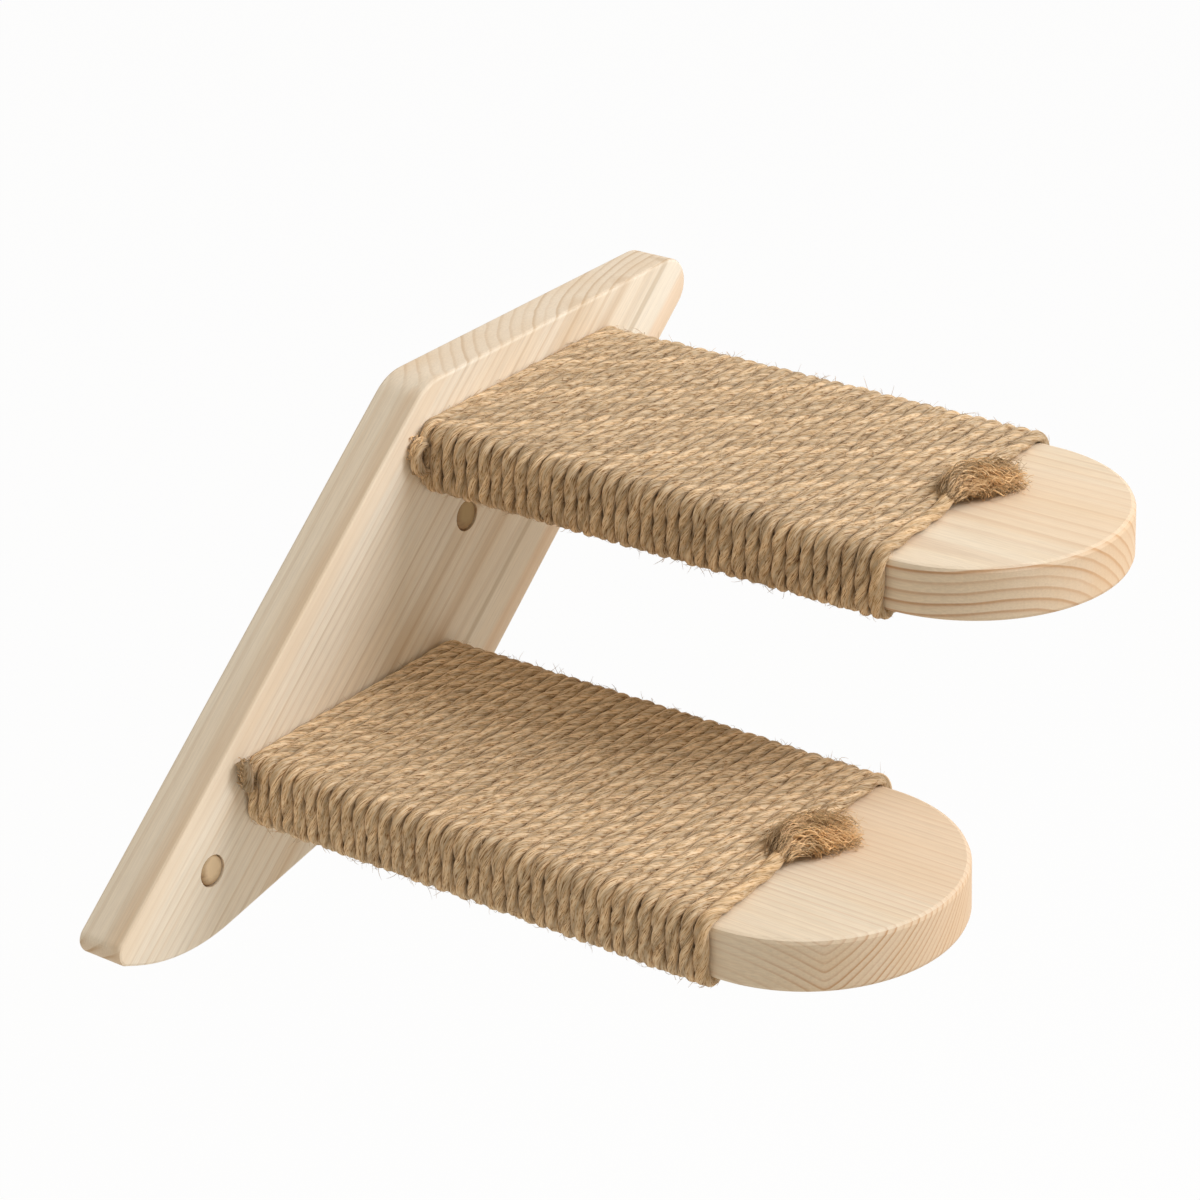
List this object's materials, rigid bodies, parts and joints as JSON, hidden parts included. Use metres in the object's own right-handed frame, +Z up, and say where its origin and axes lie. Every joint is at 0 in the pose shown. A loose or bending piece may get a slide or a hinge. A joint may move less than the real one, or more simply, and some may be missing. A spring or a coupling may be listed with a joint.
{
  "type": "cat wall steps",
  "caption": "Slanted wooden wall board with round-ended wooden steps standing out from it, each wrapped in jute rope for a cat to climb.",
  "frame": {"origin": "on the wall board's rear face, in the middle of its width and height", "axes": "+X to the right along the wall as seen from the room, +Y into the wall, +Z up"},
  "size_m": [0.3068, 0.25, 0.1501],
  "materials": {
    "pine": "planed and sanded pale pine with visible growth rings, clear matt",
    "jute": "natural twisted jute rope, fuzzy and matt",
    "plug_wood": "round wood plug, sanded",
    "beech": "plain beech dowel",
    "zinc_plate": "zinc-plated steel screw"
  },
  "bodies": {
    "root": {"backboard": "pine", "upper_step_board": "pine", "lower_step_board": "pine", "upper_step_rope": "jute", "lower_step_rope": "jute", "upper_hole_plug": "plug_wood", "lower_hole_plug": "plug_wood", "upper_step_screw_1": "zinc_plate", "upper_step_screw_2": "zinc_plate", "upper_step_screw_3": "zinc_plate", "lower_step_screw_1": "zinc_plate", "lower_step_screw_2": "zinc_plate", "lower_step_screw_3": "zinc_plate", "upper_step_dowel_1": "beech", "upper_step_dowel_2": "beech", "lower_step_dowel_1": "beech", "lower_step_dowel_2": "beech"}
  },
  "joints": []
}
